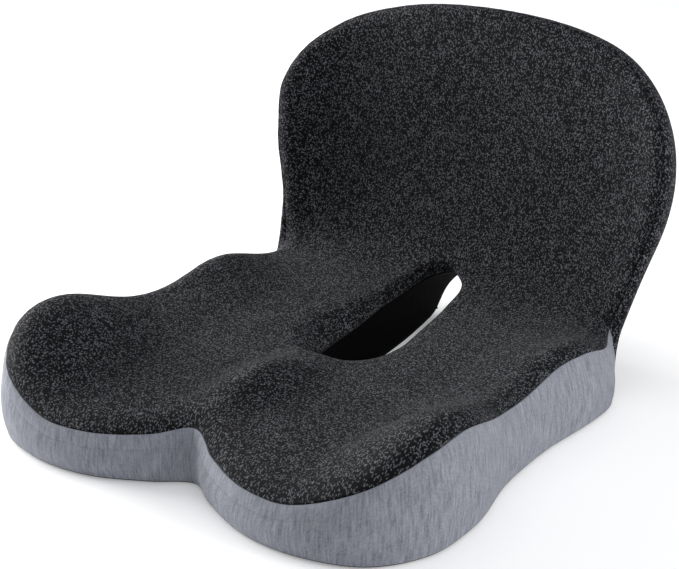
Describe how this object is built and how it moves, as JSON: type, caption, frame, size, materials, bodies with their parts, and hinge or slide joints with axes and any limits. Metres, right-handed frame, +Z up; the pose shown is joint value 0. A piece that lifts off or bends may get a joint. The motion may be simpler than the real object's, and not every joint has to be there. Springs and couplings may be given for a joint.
{
  "type": "seat cushion",
  "caption": "Contoured foam seat cushion with a tailbone cut-out and a low wrap-round back, in a zipped two-tone knit cover.",
  "frame": {"origin": "on the surface the cushion rests on, under the middle of its width and of its depth", "axes": "+Z up, +Y from the front edge of the seat towards the back, +X to the right seen from the front"},
  "size_m": [0.411, 0.4948, 0.2917],
  "materials": {
    "black_knit": "matt black melange knit",
    "grey_knit": "matt heathered grey knit",
    "base_fabric": "matt black non-slip woven fabric",
    "foam": "off-white moulded foam",
    "zip_nylon": "matt black nylon",
    "zip_metal": "dark grey painted metal"
  },
  "bodies": {
    "seat": {"seat_foam": "foam", "seat_top_panel": "black_knit", "side_band_right": "grey_knit", "side_band_left": "grey_knit", "rear_lower_panel": "black_knit", "base_panel": "base_fabric", "tunnel_liner": "black_knit"},
    "back": {"back_foam": "foam", "back_front_panel": "black_knit", "back_rear_panel": "black_knit", "zip_tape_upper": "zip_nylon", "zip_tape_lower": "zip_nylon", "zip_coil_upper": "zip_nylon", "zip_coil_lower": "zip_nylon", "zip_stop_left": "zip_metal", "zip_stop_right": "zip_metal"},
    "zip_slider": {"zip_slider": "zip_metal"},
    "zip_pull": {"zip_pull": "zip_metal"}
  },
  "joints": [
    {"name": "back_flex", "type": "hinge", "parent": "seat", "child": "back", "pos_m": [0, 0.2335, 0.115], "axis": [-1, 0, 0], "range_deg": [0, 12], "stiffness_Nm_per_rad": 20},
    {"name": "zip_slide", "type": "slide", "parent": "back", "child": "zip_slider", "axis": [1, 0, 0], "range_m": [0, 0.182]},
    {"name": "zip_pull_swing", "type": "hinge", "parent": "zip_slider", "child": "zip_pull", "pos_m": [-0.09125, 0.24537, 0.15027], "axis": [0, 0.162, 0.9868], "range_deg": [0, 175]}
  ]
}
